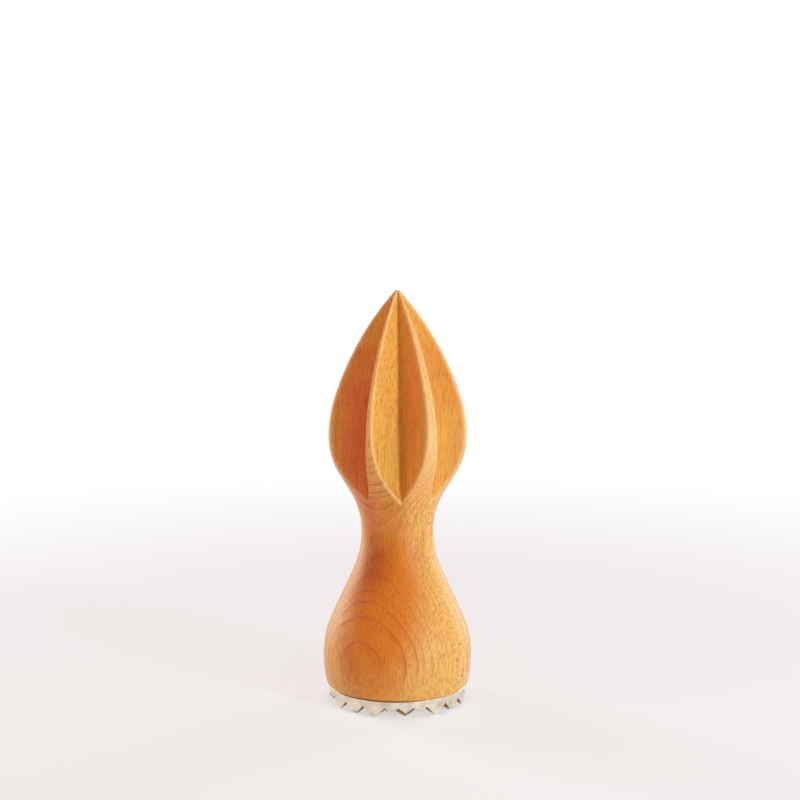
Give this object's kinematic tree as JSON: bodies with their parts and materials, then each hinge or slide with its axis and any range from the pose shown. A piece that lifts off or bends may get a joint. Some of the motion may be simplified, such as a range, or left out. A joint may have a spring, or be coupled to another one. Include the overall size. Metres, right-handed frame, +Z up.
{
  "type": "citrus reamer",
  "caption": "Turned wooden hand reamer with a pointed, fluted head, a narrow waist and a bell-shaped grip that ends in a toothed metal muddling plate.",
  "frame": {"origin": "on the tool's axis, in the plane of the tooth tips that it stands on", "axes": "+Z up along the axis from the toothed plate to the reamer's point, +X to the right and +Y away from the viewer as the picture shows it"},
  "size_m": [0.0507, 0.0506, 0.14],
  "materials": {
    "beech": "oiled satin, steamed beech with fine flecks and growth rings",
    "pale_metal": "satin cast metal",
    "bolt_steel": "bright zinc-plated"
  },
  "bodies": {
    "root": {"wooden_body": "beech", "toothed_plate": "pale_metal", "hanger_bolt": "bolt_steel"}
  },
  "joints": []
}
